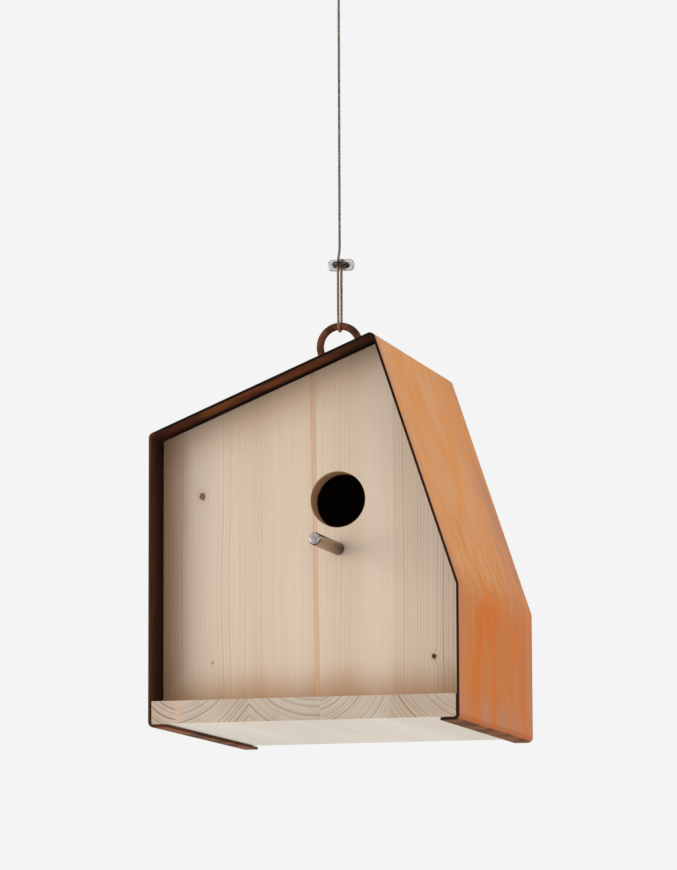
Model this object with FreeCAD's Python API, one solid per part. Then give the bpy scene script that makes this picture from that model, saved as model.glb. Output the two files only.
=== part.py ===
import FreeCAD, Part
import math
import os

# Hanging birdhouse: a folded steel shell round a wooden nest box, on a wire rope. Millimetres, +Z up.
# House coordinates run from the shell's front left bottom corner: x to the right, y to the back, z up.
# The finished frame has its origin inside the top of the upper rope loop, where a hook carries it.

# Folded shell
SHELL_WIDTH = 250.0
SHELL_DEPTH = 250.0
EAVE_Z = 231.0
RIDGE_X = 183.0
RIDGE_Z = 305.0
KNEE_Z = 105.0
SHEET = 2.0
SHEET_EDGE = 0.25
INNER_BEND = 2.5
FLANGE = 15.0

# Nest box of edge-glued boards
BOARD = 18.0
FLOOR_LENGTH = 240.0
FLOOR_SIDE_GAP = 0.8
FLOOR_UNDER_GAP = 0.5
FLOOR_UNDER_EDGE = 1.8
FLOOR_TOP_EDGE = 0.4
PANEL_GAP = 0.5
PANEL_CORNER = 2.0
EASED_EDGE = 0.5
FRONT_RECESS = 30.0
FLOOR_JOINTS = (23.0, 82.0, 139.5, 195.5)
PANEL_JOINTS = (64.0, 127.0, 190.0)

# Entrance hole and perch
HOLE_X = 146.0
HOLE_Z = 177.5
HOLE_RADIUS = 22.0
PERCH_DROP = 39.0
PERCH_RADIUS = 5.0
PERCH_REACH = 67.0
PERCH_SOCKET = 14.0
PERCH_ROUNDING = 1.2

# Blind dowels that hold the panels on the floor
DOWEL_RADIUS = 4.0
DOWEL_IN_FLOOR = 14.0
DOWEL_IN_PANEL = 16.0
DOWEL_XS = (55.0, 170.0)

# Eye: a ring on a stem, welded to the roof over the centre of gravity
HANG_X = 121.6
HANG_Y = 125.9
RING_ROD = 6.0
RING_RADIUS = 16.5
RING_Z = 315.5
WELD_RADIUS = 6.0
WELD_HEIGHT = 3.5

# Frame: the hanging point is this high above the shell's underside
HANG_Z = 657.0

# Wire rope, in the finished frame: upper tail, hanging loop, standing part, loop round the ring, lower tail
ROPE_DIAMETER = 2.0
ROPE_ROUTE = [
    (1.45, 0.0, -39.25),
    (1.45, 0.0, -27.5),
    (6.5, 0.0, -2.8),
    (2.7, 0.0, 1.0),
    (-2.7, 0.0, 1.0),
    (-6.5, 0.0, -2.8),
    (-1.45, 0.0, -27.5),
    (-1.45, 0.0, -38.5),
    (0.0, 0.0, -46.0),
    (0.0, 0.0, -263.0),
    (-1.45, 0.0, -270.5),
    (-1.45, 0.0, -281.5),
    (-0.2, -4.3, -318.0),
    (0.0, -4.3, -329.3),
    (0.0, 4.3, -329.3),
    (0.2, 4.3, -318.0),
    (1.45, 0.0, -281.5),
    (1.45, 0.0, -269.75),
]
ARC_SHARE = 0.45

# Wire rope clips, in a frame of their own: x across, y to the back, z along the rope
CLIP_CENTRES = {"upper": -35.0, "lower": -274.0}
STRAND_X = 1.45
STRAND_GROOVE = 1.03
BOW_ROD = 4.0
BOW_LEG_X = 5.0
BOW_CENTRE_Y = 1.3
BOW_END_Y = 11.5
SEAT_FRONT_Y = 0.5
SEAT_HALF_WIDTH = 2.8
SADDLE_FRONT_Y = 3.0
SADDLE_BACK_Y = 6.5
SADDLE_WIDTH = 22.0
SADDLE_HEIGHT = 9.5
SADDLE_CORNER = 3.8
SADDLE_EDGE = 0.6
SADDLE_HOLE = 2.15
NUT_ACROSS_FLATS = 7.0
NUT_THICKNESS = 3.2
NUT_EDGE = 0.5

# Shapes nearer than this count as touching
TOLERANCE = 0.01

# Places that follow from the driving dimensions
FLOOR_UNDER_Z = SHEET + FLOOR_UNDER_GAP
FLOOR_TOP_Z = FLOOR_UNDER_Z + BOARD
BACK_PANEL_Y = FLOOR_LENGTH - BOARD
PERCH_Z = HOLE_Z - PERCH_DROP
TO_FRAME = FreeCAD.Vector(-HANG_X, -HANG_Y, -HANG_Z)
CORNERS = [
    (0.0, 0.0),
    (0.0, EAVE_Z),
    (RIDGE_X, RIDGE_Z),
    (SHELL_WIDTH, KNEE_Z),
    (SHELL_WIDTH, 0.0),
]


def inset(corners, distance):
    """Move every side of a clockwise convex outline inwards by one distance."""
    moved = []
    for index, here in enumerate(corners):
        before = corners[index - 1]
        after = corners[(index + 1) % len(corners)]
        one = inward_line(before, here, distance)
        two = inward_line(here, after, distance)
        moved.append(crossing(one, two))
    return moved


def inward_line(start, end, distance):
    """The line from start to end moved to its right, as a point and a direction."""
    along_x = end[0] - start[0]
    along_z = end[1] - start[1]
    length = math.hypot(along_x, along_z)
    along_x /= length
    along_z /= length
    return (start[0] + along_z * distance, start[1] - along_x * distance, along_x, along_z)


def crossing(one, two):
    """The point where two lines meet."""
    cross = one[2] * two[3] - one[3] * two[2]
    step = ((two[0] - one[0]) * two[3] - (two[1] - one[1]) * two[2]) / cross
    return (one[0] + step * one[2], one[1] + step * one[3])


def rounded_edges(points, radii):
    """Straight runs through the points, joined by tangent arcs of the given radii."""
    edges = []
    start = points[0]
    for index in range(1, len(points) - 1):
        corner = points[index]
        back = (points[index - 1] - corner).normalize()
        ahead = (points[index + 1] - corner).normalize()
        half_turn = (math.pi - back.getAngle(ahead)) / 2.0
        cut = radii[index] * math.tan(half_turn)
        middle = (back + ahead).normalize()
        reach = radii[index] / math.cos(half_turn) - radii[index]
        arc_start = corner + back * cut
        arc_end = corner + ahead * cut
        edges.append(Part.LineSegment(start, arc_start).toShape())
        edges.append(Part.Arc(arc_start, corner + middle * reach, arc_end).toShape())
        start = arc_end
    edges.append(Part.LineSegment(start, points[-1]).toShape())
    return edges


def front_points(outline):
    """Outline points, x and z, placed in the plane of the front edge."""
    return [FreeCAD.Vector(x, 0.0, z) for x, z in outline]


def extruded(edges, front_y, depth):
    """A solid from closed front-plane edges, between front_y and front_y + depth."""
    face = Part.Face(Part.Wire(edges))
    solid = face.extrude(FreeCAD.Vector(0.0, depth, 0.0))
    solid.translate(FreeCAD.Vector(0.0, front_y, 0.0))
    return solid


def eased(solid, face_y, size):
    """Take the sharpness off every edge that lies in one upright plane, such as a front face."""
    in_plane = []
    for edge in solid.Edges:
        box = edge.BoundBox
        if box.YLength < TOLERANCE and abs(box.Center.y - face_y) < TOLERANCE:
            in_plane.append(edge)
    return solid.makeChamfer(size, in_plane)


def joined(edges, points):
    """Close an open run of edges with a straight edge from its last point to its first."""
    return edges + [Part.LineSegment(points[-1], points[0]).toShape()]


def shell():
    """One folded sheet: two walls, a roof slope, a long right slope and two turned-in flanges."""
    left_tip = (FLANGE, 0.0)
    right_tip = (SHELL_WIDTH - FLANGE, 0.0)
    outer = front_points([left_tip] + CORNERS + [right_tip])
    inner_left_tip = (FLANGE, SHEET)
    inner_right_tip = (SHELL_WIDTH - FLANGE, SHEET)
    inner = front_points([inner_left_tip] + inset(CORNERS, SHEET) + [inner_right_tip])
    edges = rounded_edges(outer, [INNER_BEND + SHEET] * len(outer))
    edges += rounded_edges(inner, [INNER_BEND] * len(inner))
    edges.append(Part.LineSegment(outer[0], inner[0]).toShape())
    edges.append(Part.LineSegment(outer[-1], inner[-1]).toShape())
    sheet = extruded(Part.sortEdges(edges)[0], 0.0, SHELL_DEPTH)
    return eased(eased(sheet, 0.0, SHEET_EDGE), SHELL_DEPTH, SHEET_EDGE)


def solid_house():
    """The space inside the shell's outer surface, used to trim what stands on the roof."""
    outer = front_points(CORNERS)
    return extruded(joined(rounded_edges(outer, [TOLERANCE] * len(outer)), outer), 0.0, SHELL_DEPTH)


def eye():
    """Ring and stem of one rod, with the weld round the foot, trimmed to the roof slope."""
    ring_centre = FreeCAD.Vector(HANG_X, HANG_Y, RING_Z)
    ring = Part.makeTorus(RING_RADIUS, RING_ROD / 2.0, ring_centre, FreeCAD.Vector(0, 1, 0))
    roof_z = EAVE_Z + (RIDGE_Z - EAVE_Z) * HANG_X / RIDGE_X
    foot = FreeCAD.Vector(HANG_X, HANG_Y, roof_z - WELD_HEIGHT)
    stem_height = RING_Z - RING_RADIUS - foot.z
    stem = Part.makeCylinder(RING_ROD / 2.0, stem_height, foot)
    weld = Part.makeCone(WELD_RADIUS + WELD_HEIGHT, RING_ROD / 2.0, 2.0 * WELD_HEIGHT, foot)
    return ring.fuse(stem).fuse(weld).cut(solid_house()).removeSplitter()


def floor_board():
    """The floor, flush with the shell's front edge, lying on the flanges."""
    left = SHEET + FLOOR_SIDE_GAP
    right = SHELL_WIDTH - left
    middle = SHELL_WIDTH / 2.0
    corners = [
        (middle, FLOOR_TOP_Z),
        (right, FLOOR_TOP_Z),
        (right, FLOOR_UNDER_Z),
        (left, FLOOR_UNDER_Z),
        (left, FLOOR_TOP_Z),
        (middle, FLOOR_TOP_Z),
    ]
    radii = [0.0, FLOOR_TOP_EDGE, FLOOR_UNDER_EDGE, FLOOR_UNDER_EDGE, FLOOR_TOP_EDGE, 0.0]
    board = extruded(rounded_edges(front_points(corners), radii), 0.0, FLOOR_LENGTH)
    return eased(eased(board, 0.0, FLOOR_TOP_EDGE / 2.0), FLOOR_LENGTH, FLOOR_TOP_EDGE / 2.0)


def panel_board(front_y):
    """A panel that fills the shell's section above the floor."""
    sides = inset(CORNERS, SHEET + PANEL_GAP)
    sides[0] = (sides[0][0], FLOOR_TOP_Z)
    sides[-1] = (sides[-1][0], FLOOR_TOP_Z)
    points = front_points(sides)
    radii = [PANEL_CORNER] * len(points)
    return extruded(joined(rounded_edges(points, radii), points), front_y, BOARD)


def staves(board, joints):
    """Cut a glued board into its staves along upright joints."""
    limits = [0.0] + list(joints) + [SHELL_WIDTH]
    pieces = []
    for left, right in zip(limits, limits[1:]):
        slab = Part.makeBox(right - left, SHELL_DEPTH, RIDGE_Z, FreeCAD.Vector(left, 0.0, 0.0))
        pieces.append(board.common(slab))
    return pieces


def dowels(panel_y):
    """Blind dowels between one panel and the floor."""
    pins = []
    for x in DOWEL_XS:
        low_end = FreeCAD.Vector(x, panel_y + BOARD / 2.0, FLOOR_TOP_Z - DOWEL_IN_FLOOR)
        pins.append(Part.makeCylinder(DOWEL_RADIUS, DOWEL_IN_FLOOR + DOWEL_IN_PANEL, low_end))
    return Part.makeCompound(pins)


def perch():
    """A metal rod with a rounded rim, pushed into a blind hole under the entrance."""
    length = PERCH_REACH + PERCH_SOCKET
    outer_end = FreeCAD.Vector(HOLE_X, FRONT_RECESS - PERCH_REACH, PERCH_Z)
    rod = Part.makeCylinder(PERCH_RADIUS, length, outer_end, FreeCAD.Vector(0, 1, 0))
    rim = [edge for edge in rod.Edges if edge.BoundBox.YMax < outer_end.y + PERCH_ROUNDING]
    return rod.makeFillet(PERCH_ROUNDING, rim)


def entrance():
    """The round hole through the front panel."""
    start = FreeCAD.Vector(HOLE_X, FRONT_RECESS - BOARD, HOLE_Z)
    return Part.makeCylinder(HOLE_RADIUS, 3.0 * BOARD, start, FreeCAD.Vector(0, 1, 0))


def nest_box():
    """Every wooden piece of the nest box and its perch, by name."""
    perch_hole = Part.makeCylinder(
        PERCH_RADIUS,
        PERCH_SOCKET,
        FreeCAD.Vector(HOLE_X, FRONT_RECESS, PERCH_Z),
        FreeCAD.Vector(0, 1, 0),
    )
    front_dowels = dowels(FRONT_RECESS)
    back_dowels = dowels(BACK_PANEL_Y)
    floor = floor_board().cut(front_dowels).cut(back_dowels)
    front = eased(panel_board(FRONT_RECESS).cut(entrance()), FRONT_RECESS, EASED_EDGE)
    front = front.cut(perch_hole).cut(front_dowels)
    back = eased(panel_board(BACK_PANEL_Y), FLOOR_LENGTH, EASED_EDGE).cut(back_dowels)
    pieces = {"perch": perch(), "front_dowels": front_dowels, "back_dowels": back_dowels}
    boards = {
        "floor": staves(floor, FLOOR_JOINTS),
        "front": staves(front, PANEL_JOINTS),
        "back": staves(back, PANEL_JOINTS),
    }
    for name, board_staves in boards.items():
        for number, stave in enumerate(board_staves, 1):
            pieces[name + "_stave_" + str(number)] = stave
    return pieces


def tube(edges, diameter):
    """Sweep a round section along a chain of straight runs and arcs."""
    path = Part.Wire(edges)
    start = edges[0].valueAt(edges[0].FirstParameter)
    direction = edges[0].tangentAt(edges[0].FirstParameter)
    section = Part.Wire([Part.Circle(start, direction, diameter / 2.0).toShape()])
    return path.makePipeShell([section], True, False)


def rope():
    """The wire rope as one tube; each arc is as large as its two runs allow."""
    points = [FreeCAD.Vector(*point) for point in ROPE_ROUTE]
    radii = [0.0]
    for before, here, after in zip(points, points[1:], points[2:]):
        half_turn = (math.pi - (before - here).getAngle(after - here)) / 2.0
        shorter = min((before - here).Length, (after - here).Length)
        radii.append(ARC_SHARE * shorter / math.tan(half_turn))
    edges = rounded_edges(points, radii + [0.0])
    solid = tube(edges, ROPE_DIAMETER)
    length = sum(edge.Length for edge in edges)
    section = math.pi * ROPE_DIAMETER ** 2 / 4.0
    print("rope arc radii", [round(radius, 1) for radius in radii[1:]])
    print("rope length", round(length, 1), "volume over section x length", solid.Volume / section / length)
    return solid


def clip_bow():
    """The U-shaped bolt of a clip, its bow round the front of the two strands."""
    left_end = FreeCAD.Vector(-BOW_LEG_X, BOW_END_Y, 0.0)
    left = FreeCAD.Vector(-BOW_LEG_X, BOW_CENTRE_Y, 0.0)
    crown = FreeCAD.Vector(0.0, BOW_CENTRE_Y - BOW_LEG_X, 0.0)
    right = FreeCAD.Vector(BOW_LEG_X, BOW_CENTRE_Y, 0.0)
    right_end = FreeCAD.Vector(BOW_LEG_X, BOW_END_Y, 0.0)
    edges = [
        Part.LineSegment(left_end, left).toShape(),
        Part.Arc(left, crown, right).toShape(),
        Part.LineSegment(right, right_end).toShape(),
    ]
    return tube(edges, BOW_ROD)


def clip_saddle():
    """The saddle: a plate with rounded ears and a grooved seat for the two strands."""
    corner = FreeCAD.Vector(-SADDLE_WIDTH / 2.0, SADDLE_FRONT_Y, -SADDLE_HEIGHT / 2.0)
    thickness = SADDLE_BACK_Y - SADDLE_FRONT_Y
    plate = Part.makeBox(SADDLE_WIDTH, thickness, SADDLE_HEIGHT, corner)
    upright = [edge for edge in plate.Edges if edge.BoundBox.YLength > thickness / 2.0]
    plate = plate.makeFillet(SADDLE_CORNER, upright)
    rims = [edge for edge in plate.Edges if edge.BoundBox.YLength < thickness / 2.0]
    plate = plate.makeFillet(SADDLE_EDGE, rims)
    seat_corner = FreeCAD.Vector(-SEAT_HALF_WIDTH, SEAT_FRONT_Y, -SADDLE_HEIGHT / 2.0)
    seat_depth = SADDLE_FRONT_Y + thickness / 2.0 - SEAT_FRONT_Y
    seat = Part.makeBox(2.0 * SEAT_HALF_WIDTH, seat_depth, SADDLE_HEIGHT, seat_corner)
    saddle = plate.fuse(seat)
    for side in (-1.0, 1.0):
        groove_start = FreeCAD.Vector(side * STRAND_X, 0.0, -SADDLE_HEIGHT)
        saddle = saddle.cut(Part.makeCylinder(STRAND_GROOVE, 2.0 * SADDLE_HEIGHT, groove_start))
        hole_start = FreeCAD.Vector(side * BOW_LEG_X, 0.0, 0.0)
        hole = Part.makeCylinder(SADDLE_HOLE, BOW_END_Y, hole_start, FreeCAD.Vector(0, 1, 0))
        saddle = saddle.cut(hole)
    return saddle.removeSplitter()


def clip_nuts():
    """Two hexagon nuts on the bow's ends, behind the saddle."""
    across_corners = NUT_ACROSS_FLATS / math.cos(math.pi / 6.0)
    nuts = []
    for side in (-1.0, 1.0):
        points = []
        for corner in range(7):
            angle = corner * math.pi / 3.0 + math.pi / 6.0
            x = side * BOW_LEG_X + across_corners / 2.0 * math.cos(angle)
            points.append(FreeCAD.Vector(x, SADDLE_BACK_Y, across_corners / 2.0 * math.sin(angle)))
        prism = Part.Face(Part.makePolygon(points)).extrude(FreeCAD.Vector(0, NUT_THICKNESS, 0))
        centre = FreeCAD.Vector(side * BOW_LEG_X, SADDLE_BACK_Y, 0.0)
        rounded = Part.makeCylinder(across_corners / 2.0, NUT_THICKNESS, centre, FreeCAD.Vector(0, 1, 0))
        far_rim = [edge for edge in rounded.Edges if edge.BoundBox.YMin > centre.y + NUT_THICKNESS / 2.0]
        rounded = rounded.makeChamfer(NUT_EDGE, far_rim)
        bore = Part.makeCylinder(BOW_ROD / 2.0, NUT_THICKNESS, centre, FreeCAD.Vector(0, 1, 0))
        nuts.append(prism.common(rounded).cut(bore))
    return Part.makeCompound(nuts)


def clips():
    """The pieces of both rope clips, by name, in the finished frame."""
    pieces = {}
    for place, centre_z in CLIP_CENTRES.items():
        for part_name, make in (("bow", clip_bow), ("saddle", clip_saddle), ("nuts", clip_nuts)):
            piece = make()
            piece.translate(FreeCAD.Vector(0.0, 0.0, centre_z))
            pieces[place + "_clip_" + part_name] = piece
    return pieces


def main():
    os.makedirs("parts", exist_ok=True)
    house = {"shell": shell(), "eye": eye()}
    house.update(nest_box())
    for piece in house.values():
        piece.translate(TO_FRAME)
    pieces = dict(house)
    pieces["rope"] = rope()
    pieces.update(clips())
    for name, piece in pieces.items():
        piece.exportStep("parts/" + name + ".step")
        print(name, "valid", piece.isValid(), "solids", len(piece.Solids), "volume", round(piece.Volume, 1))


main()
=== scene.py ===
import math

import bpy
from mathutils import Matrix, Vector


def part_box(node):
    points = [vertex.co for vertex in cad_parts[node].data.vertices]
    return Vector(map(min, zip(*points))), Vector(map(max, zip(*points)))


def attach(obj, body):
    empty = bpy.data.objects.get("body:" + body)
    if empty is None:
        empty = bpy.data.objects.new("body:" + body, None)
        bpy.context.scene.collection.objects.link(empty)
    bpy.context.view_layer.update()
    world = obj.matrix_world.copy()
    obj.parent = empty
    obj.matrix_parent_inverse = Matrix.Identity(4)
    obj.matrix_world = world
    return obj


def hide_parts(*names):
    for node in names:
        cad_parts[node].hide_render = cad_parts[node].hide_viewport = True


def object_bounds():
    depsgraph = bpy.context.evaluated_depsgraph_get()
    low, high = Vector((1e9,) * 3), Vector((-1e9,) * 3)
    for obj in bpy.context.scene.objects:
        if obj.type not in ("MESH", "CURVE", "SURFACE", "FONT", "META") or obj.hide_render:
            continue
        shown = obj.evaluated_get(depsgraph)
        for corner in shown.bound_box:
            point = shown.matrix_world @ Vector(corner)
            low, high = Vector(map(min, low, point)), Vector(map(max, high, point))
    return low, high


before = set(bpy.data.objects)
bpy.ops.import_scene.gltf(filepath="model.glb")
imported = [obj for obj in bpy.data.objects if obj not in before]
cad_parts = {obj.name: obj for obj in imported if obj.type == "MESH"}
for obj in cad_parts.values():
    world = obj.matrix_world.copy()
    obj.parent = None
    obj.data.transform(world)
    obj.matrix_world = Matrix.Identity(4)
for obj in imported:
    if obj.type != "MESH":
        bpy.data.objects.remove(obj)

# Hanging birdhouse. Metres and degrees, in the CAD frame: origin inside the top of the upper rope loop.
MM = 0.001
cad_low, cad_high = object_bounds()

# Camera
CAMERA_PLACE = (0.9183, -3.3172, -0.9208)
CAMERA_ANGLES = (98.375, 0.217, 15.53)
CAMERA_LENS = 178.24

# Light: the soft key, how bright the room is from each side, its dark part, and the backdrop
KEY_PLACE = (-1.6, -1.6, -0.35)
KEY_SIZE = 1.2
KEY_POWER = 13.0
ROOM_LIGHT = 0.27
LEFT_LIGHT = 1.0
RIGHT_LIGHT = 0.9
LOW_LIGHT = 0.98
HIGH_LIGHT = 0.93
DARK_PATCH = (0.3, -0.92, -0.2)
ROOM_GLOSS = 0.07
# Screens that bright metal mirrors: direction, cosines of the soft edge's outer and inner angle, brightness
SCREENS = [
    ((-0.5, -0.8, 0.3), 0.86, 0.93, 0.95),
    ((0.85, -0.25, 0.35), 0.9, 0.95, 1.3),
    ((-0.9, 0.3, 0.1), 0.8, 0.9, 0.7),
    ((0.2, -0.1, -1.0), 0.8, 0.92, 0.45),
    ((0.0, 1.0, 0.0), 0.6, 0.88, 1.0),
]
BACKDROP = (0.905, 0.905, 0.905, 1.0)
FLOOR_DROP = 6.0
FLOOR_REACH = 60.0

# Rope: the route of the CAD tube, in metres, with one point added at each end of the long straight run
ROPE_ROUTE = [
    (0.00145, 0.0, -0.03925),
    (0.00145, 0.0, -0.0275),
    (0.0065, 0.0, -0.0028),
    (0.0027, 0.0, 0.001),
    (-0.0027, 0.0, 0.001),
    (-0.0065, 0.0, -0.0028),
    (-0.00145, 0.0, -0.0275),
    (-0.00145, 0.0, -0.0385),
    (0.0, 0.0, -0.046),
    (0.0, 0.0, -0.0536),
    (0.0, 0.0, -0.2554),
    (0.0, 0.0, -0.263),
    (-0.00145, 0.0, -0.2705),
    (-0.00145, 0.0, -0.2815),
    (-0.0002, -0.0043, -0.318),
    (0.0, -0.0043, -0.3293),
    (0.0, 0.0043, -0.3293),
    (0.0002, 0.0043, -0.318),
    (0.00145, 0.0, -0.2815),
    (0.00145, 0.0, -0.26975),
]
OUTER_STRANDS = 6
STRAND_RADIUS = 0.00037
STRAND_CENTRES = 0.0007
STRAND_LAY = 0.0145
STRAND_STEP = 0.0007
STRAND_SIDES = 8

# Places read from the CAD nodes
SHELL_LOW, SHELL_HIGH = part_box("shell")
FRONT_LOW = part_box("front_stave_1")[0]
KNEE_Z = SHELL_LOW.z + 0.105
MIDDLE_Z = SHELL_LOW.z + 0.14
HOUSE_MIDDLE = Vector(((SHELL_LOW.x + SHELL_HIGH.x) / 2.0, 0.0, MIDDLE_Z))


def from_shell(right, up):
    """A place across the front, in millimetres from the shell's left and bottom faces."""
    return SHELL_LOW.x + right * MM, SHELL_LOW.z + up * MM


EAVE = from_shell(0.0, 231.0)
RIDGE = from_shell(183.0, 305.0)


def from_front(right, back):
    """A place seen from above, in millimetres from the shell's left face and front edge."""
    return SHELL_LOW.x + right * MM, SHELL_LOW.y + back * MM


# ---------------------------------------------------------------- node helpers

def new_material(name):
    """An empty node material with its shader and output in place."""
    material = bpy.data.materials.new(name)
    material.use_nodes = True
    tree = material.node_tree
    return material, tree, tree.nodes["Principled BSDF"]


def put(tree, socket, value):
    """Link a socket to another, or set its value."""
    if isinstance(value, bpy.types.NodeSocket):
        tree.links.new(value, socket)
    else:
        socket.default_value = value


def math_node(tree, operation, first, second=0.0, third=0.0):
    """One arithmetic node."""
    node = tree.nodes.new("ShaderNodeMath")
    node.operation = operation
    for socket, value in zip(node.inputs, (first, second, third)):
        put(tree, socket, value)
    return node.outputs[0]


def vector_node(tree, operation, first, second=(0.0, 0.0, 0.0)):
    """One vector arithmetic node. A dot product or a length comes out as a number."""
    node = tree.nodes.new("ShaderNodeVectorMath")
    node.operation = operation
    put(tree, node.inputs[0], first)
    put(tree, node.inputs[1], second)
    return node.outputs["Value"] if operation in ("DOT_PRODUCT", "LENGTH") else node.outputs["Vector"]


def noise(tree, place, scale, detail=2.0, roughness=0.5, distortion=0.0):
    """Fractal noise between 0 and 1."""
    node = tree.nodes.new("ShaderNodeTexNoise")
    put(tree, node.inputs["Vector"], place)
    node.inputs["Scale"].default_value = scale
    node.inputs["Detail"].default_value = detail
    node.inputs["Roughness"].default_value = roughness
    node.inputs["Distortion"].default_value = distortion
    return node.outputs["Fac"]


def ramp(tree, value, low, high, low_out=0.0, high_out=1.0):
    """Map a range of values smoothly to another."""
    node = tree.nodes.new("ShaderNodeMapRange")
    node.interpolation_type = "SMOOTHSTEP"
    node.clamp = True
    put(tree, node.inputs["Value"], value)
    node.inputs["From Min"].default_value = low
    node.inputs["From Max"].default_value = high
    node.inputs["To Min"].default_value = low_out
    node.inputs["To Max"].default_value = high_out
    return node.outputs["Result"]


def blend_colours(tree, share, first, second):
    """Mix two colours by a share."""
    node = tree.nodes.new("ShaderNodeMix")
    node.data_type = "RGBA"
    put(tree, node.inputs["Factor"], share)
    colour_inputs = [socket for socket in node.inputs if socket.type == "RGBA"]
    put(tree, colour_inputs[0], first)
    put(tree, colour_inputs[1], second)
    return [socket for socket in node.outputs if socket.type == "RGBA"][0]


def add_bump(tree, shader, height, distance):
    """Raise the surface by a height pattern."""
    node = tree.nodes.new("ShaderNodeBump")
    node.inputs["Strength"].default_value = 1.0
    node.inputs["Distance"].default_value = distance
    put(tree, node.inputs["Height"], height)
    tree.links.new(node.outputs["Normal"], shader.inputs["Normal"])


def gap_between(tree, first, second):
    """How far apart two numbers are."""
    return math_node(tree, "ABSOLUTE", math_node(tree, "SUBTRACT", first, second))


def stretched(tree, place, stretch):
    """Scale a place by a different number along each axis."""
    return vector_node(tree, "MULTIPLY", place, stretch)


def moved(tree, place, offset):
    """Shift a place, so that a pattern differs from piece to piece."""
    return vector_node(tree, "ADD", place, offset)


def place_and_normal(tree):
    """The piece's own coordinates, in metres, and its surface direction."""
    node = tree.nodes.new("ShaderNodeTexCoord")
    return node.outputs["Object"], node.outputs["Normal"]


def axes_of(tree, place):
    """The three numbers of a place."""
    node = tree.nodes.new("ShaderNodeSeparateXYZ")
    put(tree, node.inputs[0], place)
    return node.outputs["X"], node.outputs["Y"], node.outputs["Z"]


def linear(red, green, blue):
    """A colour given as it looks on a screen, 0 to 255, as the shader's own numbers."""
    def channel(value):
        share = value / 255.0
        return share / 12.92 if share <= 0.04045 else ((share + 0.055) / 1.055) ** 2.4
    return (channel(red), channel(green), channel(blue), 1.0)


# ---------------------------------------------------------------- materials

def facing_outward(tree, place, normal):
    """How far a sheet face looks away from the middle of the house, seen from the front."""
    outward = vector_node(tree, "SUBTRACT", place, tuple(HOUSE_MIDDLE))
    outward = vector_node(tree, "MULTIPLY", outward, (1.0, 0.0, 1.0))
    outward = vector_node(tree, "NORMALIZE", outward)
    return vector_node(tree, "DOT_PRODUCT", outward, normal)


def steel_outside(tree, place, clouds, streaks):
    """Orange rust, paler on the slopes, pink towards the rims and brown round the bottom bends."""
    _, depth, height = axes_of(tree, place)
    slope = blend_colours(tree, ramp(tree, clouds, 0.38, 0.62), linear(232, 156, 90), linear(228, 166, 116))
    wall = blend_colours(tree, ramp(tree, clouds, 0.32, 0.68), linear(220, 118, 42), linear(208, 132, 74))
    knee = math_node(tree, "MULTIPLY_ADD", streaks, 0.025, height)
    above_knee = ramp(tree, knee, KNEE_Z + 0.1, KNEE_Z + 0.02)
    low_slope = math_node(tree, "MULTIPLY", above_knee, ramp(tree, streaks, 0.4, 0.6))
    slope = blend_colours(tree, low_slope, slope, linear(222, 142, 80))
    orange = blend_colours(tree, ramp(tree, knee, KNEE_Z + 0.036, KNEE_Z - 0.004), slope, wall)
    orange = blend_colours(tree, ramp(tree, streaks, 0.54, 0.7, 0.0, 0.3), orange, linear(186, 108, 62))
    orange = blend_colours(tree, ramp(tree, streaks, 0.46, 0.3, 0.0, 0.34), orange, linear(234, 184, 142))
    front_rim = ramp(tree, depth, SHELL_LOW.y + 0.018, SHELL_LOW.y)
    back_rim = ramp(tree, depth, SHELL_HIGH.y - 0.1, SHELL_HIGH.y - 0.01)
    low_rim = ramp(tree, height, SHELL_LOW.z + 0.03, SHELL_LOW.z + 0.008)
    rims = math_node(tree, "MAXIMUM", math_node(tree, "MAXIMUM", front_rim, back_rim), low_rim)
    rims = math_node(tree, "MULTIPLY", rims, ramp(tree, clouds, 0.4, 0.6, 0.2, 0.75))
    orange = blend_colours(tree, rims, orange, linear(198, 136, 104))
    bend = ramp(tree, height, SHELL_LOW.z + 0.007, SHELL_LOW.z + 0.003, 0.0, 0.6)
    orange = blend_colours(tree, bend, orange, linear(186, 98, 50))
    under = ramp(tree, height, SHELL_LOW.z + 0.0022, SHELL_LOW.z + 0.0004)
    brown = blend_colours(tree, ramp(tree, clouds, 0.42, 0.6), linear(106, 66, 36), linear(148, 88, 48))
    orange = blend_colours(tree, under, orange, brown)
    front_edge = ramp(tree, depth, SHELL_LOW.y + 0.0008, SHELL_LOW.y + 0.0003)
    back_edge = ramp(tree, depth, SHELL_HIGH.y - 0.0008, SHELL_HIGH.y - 0.0003)
    cut_edges = math_node(tree, "MAXIMUM", front_edge, back_edge)
    return blend_colours(tree, cut_edges, orange, linear(64, 38, 26))


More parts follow.
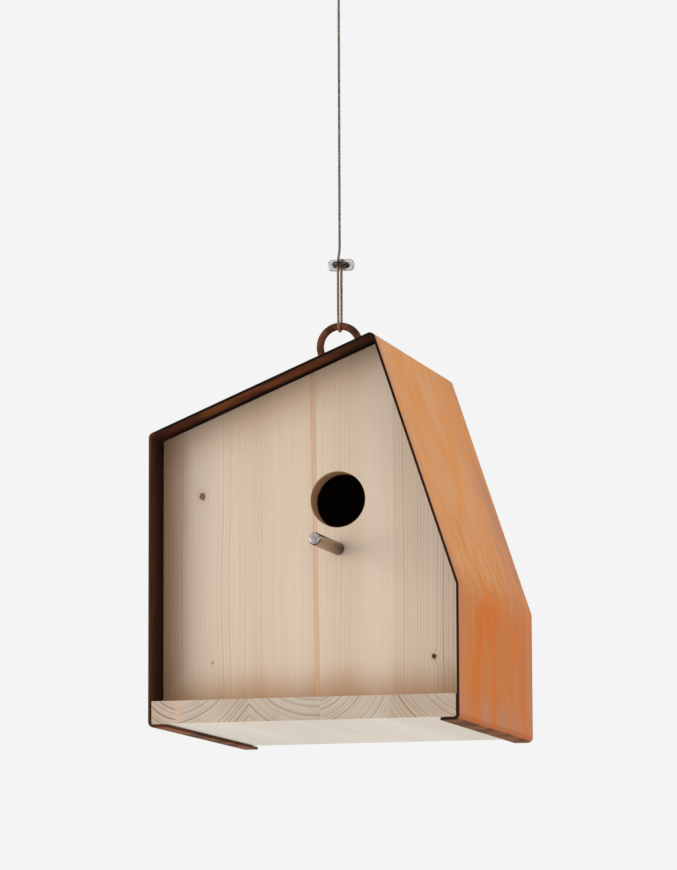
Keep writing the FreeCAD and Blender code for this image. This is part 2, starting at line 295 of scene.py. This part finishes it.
def steel_inside(tree, place, clouds, fine):
    """Brown scale, darker towards the ridge, with painted shade deepening into the porch, the roof underside
    redder and lighter (its rust tone plus painted light from below), a dark roof cut edge, and a painted
    shadow at the panel seam.
    """
    across, depth, height = axes_of(tree, place)
    near = blend_colours(tree, ramp(tree, clouds, 0.4, 0.62), linear(66, 35, 19), linear(92, 50, 27))
    near = blend_colours(tree, ramp(tree, across, EAVE[0] + 0.06, RIDGE[0]), near, linear(50, 29, 20))
    above_flange = ramp(tree, height, SHELL_LOW.z + 0.003, SHELL_LOW.z + 0.012)
    # Painted shade: the inside turns darker brown deeper into the porch, above the flange.
    painted_porch_shade = math_node(tree, "MULTIPLY", ramp(tree, depth, SHELL_LOW.y, SHELL_LOW.y + 0.022), above_flange)
    brown = blend_colours(tree, painted_porch_shade, near, linear(50, 22, 13))
    # Under the roof the brown turns redder and lighter towards the eave: partly the rust's own tone, partly
    # painted light from below.
    under_roof = ramp(tree, height, SHELL_LOW.z + 0.226, SHELL_LOW.z + 0.236)
    to_ridge = ramp(tree, across, EAVE[0] + 0.1, RIDGE[0], 0.75, 0.2)
    red = blend_colours(tree, ramp(tree, clouds, 0.4, 0.6), linear(92, 46, 24), linear(142, 76, 38))
    brown = blend_colours(tree, math_node(tree, "MULTIPLY", under_roof, to_ridge), brown, red)
    # The roof's cut edge is dark brown; the same dark brown beside the panel is a painted shadow where roof
    # and panel meet.
    cut_edge = ramp(tree, depth, SHELL_LOW.y + 0.0016, SHELL_LOW.y + 0.0004)
    painted_shade_at_panel = ramp(tree, depth, SHELL_LOW.y + 0.016, SHELL_LOW.y + 0.027)
    dark = math_node(tree, "MULTIPLY", under_roof, math_node(tree, "MAXIMUM", cut_edge, painted_shade_at_panel))
    brown = blend_colours(tree, dark, brown, linear(26, 14, 8))
    return blend_colours(tree, ramp(tree, fine, 0.52, 0.75, 0.0, 0.45), brown, linear(46, 26, 18))


def weathered_steel():
    """Rusty sheet: orange outside with streaks down the fall line, dark brown inside and on cut edges, with
    painted shade and painted light inside the porch.
    """
    material, tree, shader = new_material("weathered_steel")
    place, normal = place_and_normal(tree)
    clouds = noise(tree, stretched(tree, place, (1.0, 1.0, 0.4)), 24.0, 5.0, 0.55, 0.6)
    broad = noise(tree, stretched(tree, place, (0.3, 1.0, 0.2)), 60.0, 4.0, 0.6, 1.2)
    narrow = noise(tree, stretched(tree, place, (0.4, 1.0, 0.2)), 210.0, 4.0, 0.6, 0.8)
    streaks = math_node(tree, "MULTIPLY_ADD", broad, 0.55, math_node(tree, "MULTIPLY", narrow, 0.45))
    fine = noise(tree, place, 900.0, 4.0, 0.65)
    specks = noise(tree, place, 2400.0, 2.0, 0.7)
    outside = ramp(tree, facing_outward(tree, place, normal), 0.12, 0.3)
    colour = blend_colours(tree, outside, steel_inside(tree, place, clouds, fine),
                           steel_outside(tree, place, clouds, streaks))
    colour = blend_colours(tree, ramp(tree, specks, 0.6, 0.8, 0.0, 0.22), colour, linear(104, 56, 30))
    colour = blend_colours(tree, ramp(tree, fine, 0.56, 0.72, 0.0, 0.18), colour, linear(150, 82, 40))
    put(tree, shader.inputs["Base Color"], colour)
    put(tree, shader.inputs["Roughness"], ramp(tree, fine, 0.3, 0.7, 0.7, 0.88))
    shader.inputs["Specular IOR Level"].default_value = 0.12
    grain = math_node(tree, "MULTIPLY_ADD", specks, 0.4, fine)
    add_bump(tree, shader, grain, 0.00012)
    return material


def rusty_rod():
    """The ring and its stem: the same steel, darker and mottled all round."""
    material, tree, shader = new_material("rusty_rod")
    place, _ = place_and_normal(tree)
    blotches = noise(tree, place, 160.0, 5.0, 0.6, 0.5)
    fine = noise(tree, place, 1500.0, 4.0, 0.65)
    colour = blend_colours(tree, ramp(tree, blotches, 0.38, 0.64), linear(64, 40, 27), linear(110, 69, 44))
    colour = blend_colours(tree, ramp(tree, fine, 0.54, 0.76, 0.0, 0.4), colour, linear(136, 88, 58))
    put(tree, shader.inputs["Base Color"], colour)
    put(tree, shader.inputs["Roughness"], ramp(tree, fine, 0.3, 0.7, 0.55, 0.8))
    shader.inputs["Specular IOR Level"].default_value = 0.15
    add_bump(tree, shader, math_node(tree, "ADD", fine, blotches), 0.00015)
    return material


# One row per stave: heart of the tree, in mm from the shell's left face, and from its underside (floor) or
# its front edge (panels); ring spacing in mm; and how strongly the rings show
FLOOR_STAVES = [
    (33.0, 46.0, 3.1, 0.85),
    (8.0, 70.0, 3.0, 0.7),
    (133.0, 52.0, 5.6, 0.45),
    (127.0, 50.0, 3.0, 0.55),
    (267.0, 55.0, 2.4, 0.65),
]
PANEL_STAVES = [
    (-42.0, 62.0, 2.9, 0.9),
    (-18.0, 70.0, 2.2, 0.75),
    (52.0, 96.0, 3.4, 0.3),
    (150.0, 62.0, 2.4, 1.0),
]
BACK_STAVES = [
    (-30.0, 330.0, 2.6, 0.8),
    (150.0, 300.0, 3.2, 1.0),
    (90.0, 320.0, 2.7, 0.7),
    (300.0, 310.0, 2.9, 0.9),
]
# Knots on front staves: right, up and radius in mm, and how dark the middle is
KNOTS = {
    1: [(35.1, 183.9, 2.5, 0.85), (43.4, 51.9, 0.8, 0.5)],
    4: [(222.8, 52.0, 1.9, 1.0)],
}
# The streak of heartwood beside the middle glue joint of the front panel, in mm
STREAK_TOP = (125.9, 257.4)
STREAK_BOTTOM = (129.0, 28.2)
STREAK_HALF_WIDTH = 2.0
# The two middle front staves show the streak and are cut by the entrance: middle in mm, radius in metres
MIDDLE_FRONT_STAVES = (2, 3)
HOLE = (146.0, 177.5)
HOLE_RADIUS = 0.022
# End grain of the floor, in mm: where the pink band stands, and a place that the red ring goes through
PINK_BAND = 23.8
RED_RING_STAVE = 5
RED_RING_PLACE = (208.0, 11.0)
RED_RING_HALF_WIDTH = 0.55


class Board:
    """The shader network of one stave and the places its patterns share."""

    def __init__(self, name, along, heart, spacing, strength, seed):
        self.material, self.tree, self.shader = new_material(name)
        self.place, self.normal = place_and_normal(self.tree)
        self.across, self.depth, self.height = axes_of(self.tree, self.place)
        self.along = along
        self.heart = heart
        self.spacing = spacing
        self.strength = strength
        self.own_place = moved(self.tree, self.place, (seed * 1.7, seed * 0.9, seed * 2.3))

    def grain(self, scale, shrink, detail=2.0, roughness=0.5):
        """Noise that is drawn out along the grain."""
        stretch = (1.0, shrink, 1.0) if self.along == "Y" else (1.0, 1.0, shrink)
        return noise(self.tree, stretched(self.tree, self.own_place, stretch), scale, detail, roughness)

    def radius(self):
        """Distance from the heart of the tree, with a slow wander along the board."""
        through = self.height if self.along == "Y" else self.depth
        side = math_node(self.tree, "SUBTRACT", self.across, self.heart[0])
        inward = math_node(self.tree, "SUBTRACT", through, self.heart[1])
        inward_square = math_node(self.tree, "MULTIPLY", inward, inward)
        squares = math_node(self.tree, "MULTIPLY_ADD", side, side, inward_square)
        wander = math_node(self.tree, "MULTIPLY", self.grain(16.0, 0.35, 1.0), 2.6 * self.spacing)
        return math_node(self.tree, "ADD", math_node(self.tree, "SQRT", squares), wander)


def knot_gap(board, knot):
    """Distance from a knot's middle, measured a little longer across than along the grain."""
    knot_x, knot_z = from_shell(knot[0], knot[1])
    gap = vector_node(board.tree, "SUBTRACT", board.place, (knot_x, 0.0, knot_z))
    gap = vector_node(board.tree, "MULTIPLY", gap, (1.0, 0.0, 0.85))
    return vector_node(board.tree, "LENGTH", gap)


def ring_lines(board, radius):
    """Latewood lines of uneven spacing and uneven darkness."""
    tree = board.tree
    years = math_node(tree, "DIVIDE", radius, board.spacing)
    drift = tree.nodes.new("ShaderNodeTexNoise")
    drift.noise_dimensions = "1D"
    put(tree, drift.inputs["W"], years)
    drift.inputs["Scale"].default_value = 0.35
    years = math_node(tree, "MULTIPLY_ADD", drift.outputs["Fac"], 2.2 if board.along == "Y" else 1.2, years)
    ring = math_node(tree, "FRACT", years)
    line = math_node(tree, "MULTIPLY", ramp(tree, ring, 0.62, 0.9), ramp(tree, ring, 1.0, 0.96))
    year = tree.nodes.new("ShaderNodeTexWhiteNoise")
    year.noise_dimensions = "1D"
    put(tree, year.inputs["W"], math_node(tree, "FLOOR", years))
    return math_node(tree, "MULTIPLY", line, ramp(tree, year.outputs["Value"], 0.0, 1.0, 0.3, 1.0))


def planed_face(board, lines, fades, fibres):
    """Colour of the long faces: pale, with faint lines and fine fibres."""
    tree = board.tree
    face = blend_colours(tree, ramp(tree, fades, 0.35, 0.65), linear(227, 206, 184), linear(221, 198, 173))
    share = math_node(tree, "MULTIPLY", lines, ramp(tree, fades, 0.35, 0.65, 0.24, 0.5))
    share = math_node(tree, "MULTIPLY", share, board.strength)
    bark_side = ramp(tree, board.across, SHELL_HIGH.x - 0.045, SHELL_HIGH.x - 0.01, 1.0, 2.2)
    share = math_node(tree, "MULTIPLY", share, bark_side)
    face = blend_colours(tree, share, face, linear(180, 130, 90))
    return blend_colours(tree, ramp(tree, fibres, 0.5, 0.78, 0.0, 0.12), face, linear(182, 146, 114))


def end_grain(board, lines, fades):
    """Colour of a sawn end: greyer, with clear rings."""
    tree = board.tree
    cut = blend_colours(tree, ramp(tree, fades, 0.35, 0.65), linear(203, 187, 168), linear(191, 171, 149))
    share = math_node(tree, "MULTIPLY", lines, min(1.0, 1.05 * board.strength))
    cut = blend_colours(tree, share, cut, linear(122, 84, 60))
    gap = gap_between(tree, board.across, from_shell(PINK_BAND, 0.0)[0])
    return blend_colours(tree, ramp(tree, gap, 0.004, 0.0015, 0.0, 0.45), cut, linear(218, 176, 146))


def spruce(board, knots=(), streak=False, bored=False, red_ring=None):
    """Planed spruce: growth rings about a heart line, so that faces and end grain agree."""
    tree = board.tree
    radius = board.radius()
    for knot in knots:
        bulge = ramp(tree, knot_gap(board, knot), 4.5 * knot[2] * MM, 0.5 * knot[2] * MM)
        radius = math_node(tree, "MULTIPLY_ADD", bulge, 0.9 * board.spacing, radius)
    lines = ring_lines(board, radius)
    fades = board.grain(20.0, 0.06, 3.0, 0.55)
    fibres = board.grain(1500.0, 0.02, 3.0, 0.6)
    direction = (0.0, 1.0, 0.0) if board.along == "Y" else (0.0, 0.0, 1.0)
    along_share = math_node(tree, "ABSOLUTE", vector_node(tree, "DOT_PRODUCT", board.normal, direction))
    colour = planed_face(board, lines, fades, fibres)
    if board.along == "Y":
        # Painted light: faces that look down are painted paler, standing in for the strong light from below
        # that washes them out.
        looking_down = vector_node(tree, "DOT_PRODUCT", board.normal, (0.0, 0.0, -1.0))
        cloudy = ramp(tree, fades, 0.35, 0.65)
        pale = blend_colours(tree, cloudy, linear(240, 231, 217), linear(229, 218, 202))
        colour = blend_colours(tree, ramp(tree, looking_down, 0.5, 0.9, 0.0, 0.82), colour, pale)
    end = ramp(tree, along_share, 0.6, 0.9)
    colour = blend_colours(tree, end, colour, end_grain(board, lines, fades))
    # Panel staves get painted shade near the left wall, the roof and the floor.
    if board.along == "Z":
        colour = with_painted_corner_shade(board, fades, colour)
    if bored:
        colour = with_raw_bore(board, fibres, colour)
    if streak:
        colour = with_streak(board, colour)
    if red_ring:
        colour = with_red_ring(board, radius, end, colour, red_ring)
    for knot in knots:
        colour = with_knot(board, knot, colour)
    put(tree, board.shader.inputs["Base Color"], colour)
    put(tree, board.shader.inputs["Roughness"], ramp(tree, fibres, 0.3, 0.7, 0.52, 0.66))
    board.shader.inputs["Specular IOR Level"].default_value = 0.3
    add_bump(tree, board.shader, math_node(tree, "MULTIPLY_ADD", lines, 0.5, fibres), 0.00007)
    return board.material


def with_painted_corner_shade(board, fades, colour):
    """Painted shade: wood near the left wall, the roof and the floor is painted darker and warmer, standing
    in for the shade there and the warm light bounced off the rusty steel.
    """
    tree = board.tree
    pitch = (RIDGE[1] - EAVE[1]) / (RIDGE[0] - EAVE[0])
    roof = math_node(tree, "MULTIPLY_ADD", board.across, pitch, EAVE[1] - pitch * EAVE[0])
    to_roof = math_node(tree, "SUBTRACT", roof, board.height)
    to_roof = math_node(tree, "MULTIPLY_ADD", fades, -0.02, to_roof)
    # Painted shade, warm as if lit by the rusty steel, along the roof line.
    colour = blend_colours(tree, ramp(tree, to_roof, 0.036, -0.01, 0.0, 0.4), colour, linear(194, 150, 110))
    to_wall = math_node(tree, "SUBTRACT", board.across, SHELL_LOW.x)
    to_wall = math_node(tree, "MULTIPLY", to_wall, 0.7)
    to_floor = math_node(tree, "SUBTRACT", board.height, FRONT_LOW.z - 0.002)
    to_floor = math_node(tree, "MULTIPLY", to_floor, 0.7)
    nearest = math_node(tree, "MINIMUM", to_wall, to_floor)
    uneven = math_node(tree, "MULTIPLY_ADD", fades, -0.02, nearest)
    # Painted shade, warm as if lit by the rusty steel, near the left wall and the floor.
    return blend_colours(tree, ramp(tree, uneven, 0.014, -0.01, 0.0, 0.7), colour, linear(182, 136, 92))


def with_raw_bore(board, fibres, colour):
    """The wall of the entrance hole, left raw and browner than the planed face."""
    tree = board.tree
    hole_x, hole_z = from_shell(*HOLE)
    gap = vector_node(tree, "SUBTRACT", board.place, (hole_x, 0.0, hole_z))
    gap = vector_node(tree, "LENGTH", vector_node(tree, "MULTIPLY", gap, (1.0, 0.0, 1.0)))
    wall = ramp(tree, gap, HOLE_RADIUS + 0.0003, HOLE_RADIUS + 0.0001, 0.0, 0.8)
    raw = blend_colours(tree, fibres, linear(206, 160, 110), linear(184, 132, 84))
    return blend_colours(tree, wall, colour, raw)


def with_streak(board, colour):
    """A slightly leaning warm band with darker sides."""
    tree = board.tree
    top_x, top_z = from_shell(*STREAK_TOP)
    bottom_x, bottom_z = from_shell(*STREAK_BOTTOM)
    lean = (top_x - bottom_x) / (top_z - bottom_z)
    above_bottom = math_node(tree, "SUBTRACT", board.height, bottom_z)
    centre = math_node(tree, "MULTIPLY_ADD", above_bottom, lean, bottom_x)
    gap = gap_between(tree, board.across, centre)
    half = STREAK_HALF_WIDTH * MM
    band = ramp(tree, gap, 1.2 * half, 0.8 * half, 0.0, 0.55)
    side = math_node(tree, "MULTIPLY", ramp(tree, gap, 0.3 * half, 0.8 * half, 0.0, 0.25), band)
    colour = blend_colours(tree, band, colour, linear(214, 168, 128))
    return blend_colours(tree, side, colour, linear(160, 108, 70))


def with_red_ring(board, radius, end, colour, place):
    """One resin-red ring through a place in the end grain."""
    tree = board.tree
    place_x, place_z = from_shell(*place)
    target = math.hypot(place_x - board.heart[0], place_z - board.heart[1]) + 1.3 * board.spacing
    gap = gap_between(tree, radius, target)
    half = RED_RING_HALF_WIDTH * MM
    ring = math_node(tree, "MULTIPLY", ramp(tree, gap, 1.3 * half, 0.6 * half, 0.0, 0.7), end)
    return blend_colours(tree, ring, colour, linear(168, 104, 70))


def with_knot(board, knot, colour):
    """A small knot: warm halo, dark ragged rim and a lighter middle."""
    tree = board.tree
    reach = knot[2] * MM
    gap = knot_gap(board, knot)
    ragged = math_node(tree, "MULTIPLY_ADD", noise(tree, board.own_place, 1100.0, 2.0), 0.9 * reach, gap)
    halo = ramp(tree, gap, 3.0 * reach, 1.2 * reach, 0.0, 0.2)
    colour = blend_colours(tree, halo, colour, linear(198, 142, 104))
    spot = ramp(tree, ragged, 1.6 * reach, 1.25 * reach, 0.0, knot[3])
    colour = blend_colours(tree, spot, colour, linear(92, 42, 26))
    middle = ramp(tree, gap, 0.6 * reach, 0.2 * reach, 0.0, 3.0 * (1.0 - knot[3]))
    return blend_colours(tree, middle, colour, linear(176, 118, 86))


def turned_beech():
    """Dowels: fine short flecks along the pin."""
    material, tree, shader = new_material("turned_beech")
    place, _ = place_and_normal(tree)
    flecks = noise(tree, stretched(tree, place, (1.0, 1.0, 0.15)), 900.0, 3.0, 0.6)
    colour = blend_colours(tree, ramp(tree, flecks, 0.4, 0.7), linear(206, 164, 126), linear(168, 118, 82))
    put(tree, shader.inputs["Base Color"], colour)
    shader.inputs["Roughness"].default_value = 0.55
    add_bump(tree, shader, flecks, 0.00008)
    return material


def satin_rod():
    """The perch: steel with a bright faced end, and painted shade that turns the side dark brown towards the
    panel, where it reflects its own shadow.
    """
    material, tree, shader = new_material("satin_rod")
    place, normal = place_and_normal(tree)
    _, depth, _ = axes_of(tree, place)
    drawn = noise(tree, stretched(tree, place, (1.0, 0.04, 1.0)), 2600.0, 2.0, 0.6)
    smears = noise(tree, stretched(tree, place, (1.0, 0.4, 1.0)), 260.0, 3.0, 0.55)
    panel_y = FRONT_LOW.y
    # Painted shade: the side darkens towards the panel, standing in for the shadow it reflects there.
    painted_base_shade = ramp(tree, depth, panel_y - 0.055, panel_y - 0.002)
    side = blend_colours(tree, painted_base_shade, linear(176, 152, 124), linear(58, 38, 28))
    side = blend_colours(tree, ramp(tree, smears, 0.45, 0.7, 0.0, 0.4), side, linear(120, 98, 78))
    end = ramp(tree, vector_node(tree, "DOT_PRODUCT", normal, (0.0, -1.0, 0.0)), 0.45, 0.8)
    faced = blend_colours(tree, ramp(tree, smears, 0.4, 0.6), linear(214, 207, 205), linear(166, 156, 152))
    colour = blend_colours(tree, end, side, faced)
    put(tree, shader.inputs["Base Color"], colour)
    shader.inputs["Metallic"].default_value = 1.0
    put(tree, shader.inputs["Roughness"], ramp(tree, drawn, 0.3, 0.7, 0.22, 0.36))
    add_bump(tree, shader, drawn, 0.00002)
    return material


def rope_steel():
    """Drawn steel strands with a brown film."""
    material, tree, shader = new_material("rope_steel")
    place, _ = place_and_normal(tree)
    film = noise(tree, place, 700.0, 3.0, 0.6)
    colour = blend_colours(tree, ramp(tree, film, 0.35, 0.65), linear(128, 112, 95), linear(184, 170, 154))
    put(tree, shader.inputs["Base Color"], colour)
    shader.inputs["Metallic"].default_value = 0.6
    put(tree, shader.inputs["Roughness"], ramp(tree, film, 0.3, 0.7, 0.28, 0.45))
    add_bump(tree, shader, film, 0.00004)
    return material


def plated_steel(name, dark, bright, metallic):
    """Plating on the rope clips, a little uneven."""
    material, tree, shader = new_material(name)
    place, _ = place_and_normal(tree)
    waves = noise(tree, place, 420.0, 3.0, 0.55)
    colour = blend_colours(tree, ramp(tree, waves, 0.35, 0.65), dark, bright)
    put(tree, shader.inputs["Base Color"], colour)
    shader.inputs["Metallic"].default_value = metallic
    put(tree, shader.inputs["Roughness"], ramp(tree, waves, 0.3, 0.7, 0.08, 0.18))
    add_bump(tree, shader, waves, 0.00006)
    return material


def give(node_name, material):
    """Give a CAD node one material."""
    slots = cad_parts[node_name].data.materials
    slots.clear()
    slots.append(material)


def dress_cad_nodes():
    """Every CAD node that stays gets its material."""
    give("shell", weathered_steel())
    give("eye", rusty_rod())
    give("perch", satin_rod())
    beech = turned_beech()
    give("front_dowels", beech)
    give("back_dowels", beech)
    plated = plated_steel("plated_steel", linear(184, 182, 182), linear(222, 221, 222), 0.75)
    # The bows' plating is painted dark, a painted dark reflection of the room their curved fronts face;
    # saddles and nuts keep the bright plating.
    plated_painted_dark = plated_steel("plated_steel_painted_dark", linear(62, 56, 54), linear(104, 96, 94), 0.5)
    # Bows take the plating painted dark, saddles and nuts the bright one.
    for place in ("upper", "lower"):
        give(place + "_clip_bow", plated_painted_dark)
        give(place + "_clip_saddle", plated)
        give(place + "_clip_nuts", plated)
    for number, row in enumerate(FLOOR_STAVES, 1):
        board = stave_board("floor_stave_", number, "Y", from_shell(row[0], row[1]), row)
        red_ring = RED_RING_PLACE if number == RED_RING_STAVE else None
        give("floor_stave_" + str(number), spruce(board, red_ring=red_ring))
    for number, row in enumerate(PANEL_STAVES, 1):
        board = stave_board("front_stave_", number, "Z", from_front(row[0], row[1]), row)
        middle = number in MIDDLE_FRONT_STAVES
        give("front_stave_" + str(number), spruce(board, KNOTS.get(number, ()), streak=middle, bored=middle))
    for number, row in enumerate(BACK_STAVES, 1):
        board = stave_board("back_stave_", number, "Z", from_front(row[0], row[1]), row)
        give("back_stave_" + str(number), spruce(board))


def stave_board(prefix, number, along, heart, row):
    """Start one stave's material from its row of the table."""
    seed = float(number) + len(prefix)
    return Board("spruce_" + prefix + str(number), along, heart, row[2] * MM, row[3], seed)


# ---------------------------------------------------------------- rope

def rope_line():
    """Points along the rope's smooth centreline, evenly spaced."""
    curve = bpy.data.curves.new("rope_line", "CURVE")
    curve.dimensions = "3D"
    curve.resolution_u = 64
    spline = curve.splines.new("NURBS")
    spline.points.add(len(ROPE_ROUTE) - 1)
    for point, place in zip(spline.points, ROPE_ROUTE):
        point.co = (*place, 1.0)
    spline.order_u = 3
    spline.use_endpoint_u = True
    holder = bpy.data.objects.new("rope_line", curve)
    bpy.context.scene.collection.objects.link(holder)
    bpy.context.view_layer.update()
    line = bpy.data.meshes.new_from_object(holder)
    coarse = [vertex.co.copy() for vertex in line.vertices]
    bpy.data.objects.remove(holder)
    bpy.data.curves.remove(curve)
    bpy.data.meshes.remove(line)
    return evenly_spaced(coarse, STRAND_STEP)


def evenly_spaced(points, step):
    """Walk a chain of points and drop one every step."""
    spaced = [points[0]]
    left = step
    for start, end in zip(points, points[1:]):
        length = (end - start).length
        walked = 0.0
        while length - walked >= left:
            walked += left
            spaced.append(start.lerp(end, walked / length))
            left = step
        left -= length - walked
    spaced.append(points[-1])
    return spaced


def frames_along(points):
    """A side and an up direction at each point that never spin about the line."""
    tangents = []
    for index in range(len(points)):
        before = points[max(index - 1, 0)]
        after = points[min(index + 1, len(points) - 1)]
        tangents.append((after - before).normalized())
    side = tangents[0].orthogonal().normalized()
    frames = []
    for tangent in tangents:
        side = (side - tangent * side.dot(tangent)).normalized()
        frames.append((side, tangent.cross(side)))
    return frames


def strand_points(line, frames, strand):
    """One strand's centreline. Strand 0 is the core and the others wind round it."""
    if strand == 0:
        return line
    wound = []
    for index, (point, (side, up)) in enumerate(zip(line, frames)):
        angle = 2.0 * math.pi * (index * STRAND_STEP / STRAND_LAY + strand / OUTER_STRANDS)
        offset = side * math.cos(angle) + up * math.sin(angle)
        wound.append(point + offset * STRAND_CENTRES)
    return wound


def add_tube(vertices, faces, points):
    """Add a closed round tube along points to a mesh under construction."""
    frames = frames_along(points)
    first = len(vertices)
    for point, (side, up) in zip(points, frames):
        for corner in range(STRAND_SIDES):
            angle = 2.0 * math.pi * corner / STRAND_SIDES
            vertices.append(point + (side * math.cos(angle) + up * math.sin(angle)) * STRAND_RADIUS)
    for ring in range(len(points) - 1):
        for corner in range(STRAND_SIDES):
            here = first + ring * STRAND_SIDES
            beside = (corner + 1) % STRAND_SIDES
            ahead = here + STRAND_SIDES
            faces.append((here + corner, here + beside, ahead + beside, ahead + corner))
    last = first + (len(points) - 1) * STRAND_SIDES
    faces.append(tuple(first + corner for corner in reversed(range(STRAND_SIDES))))
    faces.append(tuple(last + corner for corner in range(STRAND_SIDES)))


def make_rope():
    """The stranded rope, in place of the CAD tube."""
    line = rope_line()
    frames = frames_along(line)
    vertices = []
    faces = []
    for strand in range(OUTER_STRANDS + 1):
        add_tube(vertices, faces, strand_points(line, frames, strand))
    mesh = bpy.data.meshes.new("wire_rope")
    mesh.from_pydata([tuple(vertex) for vertex in vertices], [], faces)
    for polygon in mesh.polygons:
        polygon.use_smooth = len(polygon.vertices) == 4
    mesh.materials.append(rope_steel())
    rope = bpy.data.objects.new("wire_rope", mesh)
    bpy.context.scene.collection.objects.link(rope)
    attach(rope, "hanging_rope")
    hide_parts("rope")


# ---------------------------------------------------------------- camera, light and floor

def make_camera():
    """Long lens, a little below the birdhouse, from the right."""
    camera = bpy.data.cameras.new("camera")
    camera.lens = CAMERA_LENS
    camera.clip_end = 50.0
    holder = bpy.data.objects.new("camera", camera)
    holder.location = CAMERA_PLACE
    holder.rotation_euler = [math.radians(angle) for angle in CAMERA_ANGLES]
    bpy.context.scene.collection.objects.link(holder)
    bpy.context.scene.camera = holder


def make_light(name, place, target, size, power):
    """A square soft light."""
    light = bpy.data.lights.new(name, "AREA")
    light.size = size
    light.energy = power
    holder = bpy.data.objects.new(name, light)
    holder.location = place
    aim = Vector(target) - Vector(place)
    holder.rotation_euler = aim.to_track_quat("-Z", "Y").to_euler()
    bpy.context.scene.collection.objects.link(holder)


def surroundings(tree):
    """What the birdhouse sees: brightest on the left, less on the right, and dark round the camera."""
    direction = tree.nodes.new("ShaderNodeTexCoord").outputs["Generated"]
    across, _, height = axes_of(tree, direction)
    left = ramp(tree, across, 0.1, -0.2, 0.0, LEFT_LIGHT)
    right = ramp(tree, across, 0.15, 0.6, 0.0, RIGHT_LIGHT)
    level = math_node(tree, "ADD", ROOM_LIGHT, math_node(tree, "ADD", left, right))
    level = math_node(tree, "MULTIPLY", level, ramp(tree, height, 0.4, -0.4, 0.62, 1.4))
    level = towards(tree, ramp(tree, height, -0.35, -0.75), level, LOW_LIGHT)
    level = towards(tree, ramp(tree, height, 0.35, 0.8), level, HIGH_LIGHT)
    dark = vector_node(tree, "DOT_PRODUCT", direction, tuple(Vector(DARK_PATCH).normalized()))
    return math_node(tree, "MULTIPLY", level, ramp(tree, dark, 0.83, 0.95, 1.0, 0.1))


def mirrored_room(tree):
    """What bright metal mirrors: a dark room with a few pale screens."""
    direction = tree.nodes.new("ShaderNodeTexCoord").outputs["Generated"]
    level = ROOM_GLOSS
    for aim, outer, inner, brightness in SCREENS:
        towards_screen = vector_node(tree, "DOT_PRODUCT", direction, tuple(Vector(aim).normalized()))
        screen = ramp(tree, towards_screen, outer, inner, 0.0, brightness)
        level = math_node(tree, "MAXIMUM", level, screen)
    return level


def towards(tree, share, first, second):
    """Move from a first to a second number by a share."""
    change = math_node(tree, "SUBTRACT", second, first)
    return math_node(tree, "MULTIPLY_ADD", change, share, first)


def make_world():
    """A pale backdrop for the camera, with softer and uneven light for everything else."""
    world = bpy.data.worlds.new("studio")
    world.use_nodes = True
    tree = world.node_tree
    background = tree.nodes["Background"]
    path = tree.nodes.new("ShaderNodeLightPath")
    level = towards(tree, path.outputs["Is Glossy Ray"], surroundings(tree), mirrored_room(tree))
    shown = blend_colours(tree, path.outputs["Is Camera Ray"], level, BACKDROP)
    put(tree, background.inputs["Color"], shown)
    bpy.context.scene.world = world
    bpy.context.scene.view_settings.view_transform = "Standard"


def make_floor():
    """A plain pale floor well below the birdhouse."""
    floor_z = cad_low.z - FLOOR_DROP
    corners = [(x, y, floor_z) for x, y in ((-1.0, -1.0), (1.0, -1.0), (1.0, 1.0), (-1.0, 1.0))]
    corners = [(x * FLOOR_REACH, y * FLOOR_REACH, z) for x, y, z in corners]
    mesh = bpy.data.meshes.new("studio_floor")
    mesh.from_pydata(corners, [], [(0, 1, 2, 3)])
    material, _, shader = new_material("studio_floor")
    shader.inputs["Base Color"].default_value = (0.86, 0.86, 0.86, 1.0)
    shader.inputs["Roughness"].default_value = 0.9
    shader.inputs["Specular IOR Level"].default_value = 0.0
    mesh.materials.append(material)
    floor = bpy.data.objects.new("studio_floor", mesh)
    floor.visible_diffuse = False
    floor.visible_glossy = False
    bpy.context.scene.collection.objects.link(floor)


make_camera()
make_rope()
dress_cad_nodes()
make_world()
make_light("key", KEY_PLACE, (cad_low + cad_high) / 2.0, KEY_SIZE, KEY_POWER)
make_floor()
